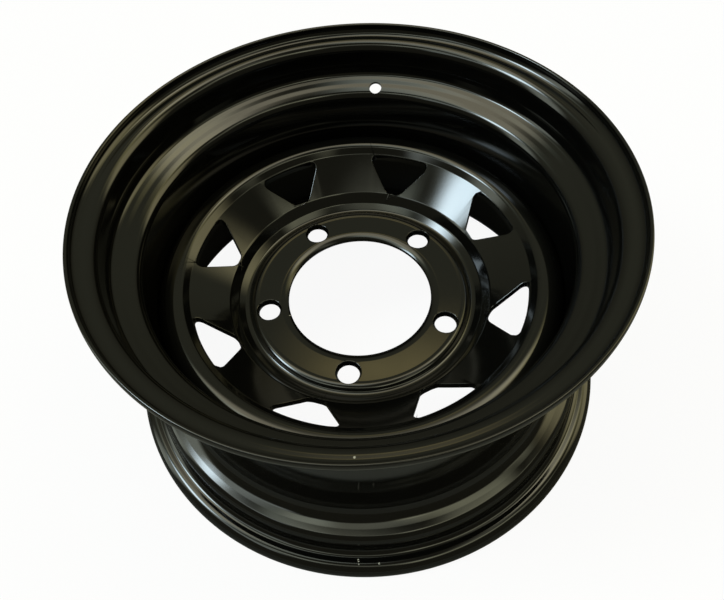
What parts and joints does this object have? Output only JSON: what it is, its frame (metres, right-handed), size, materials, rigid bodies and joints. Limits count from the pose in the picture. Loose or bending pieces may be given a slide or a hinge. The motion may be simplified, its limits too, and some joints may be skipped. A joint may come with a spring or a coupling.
{
  "type": "wheel rim",
  "caption": "Welded steel wheel rim with a deep front dish, a windowed pressed disc and a drop-centre barrel, which carries a tyre and bolts to a hub.",
  "frame": {"origin": "on the wheel axis, in the plane of the rear flange's outermost edge, which the wheel lies on", "axes": "+Z along the wheel axis from the rear (hub) side to the front side, +X to the right and +Y away from the viewer in the picture"},
  "size_m": [0.4402, 0.4402, 0.2292],
  "materials": {
    "black_paint": "glossy black paint"
  },
  "bodies": {
    "root": {"rim_barrel": "black_paint", "wheel_disc": "black_paint", "disc_welds": "black_paint"}
  },
  "joints": []
}
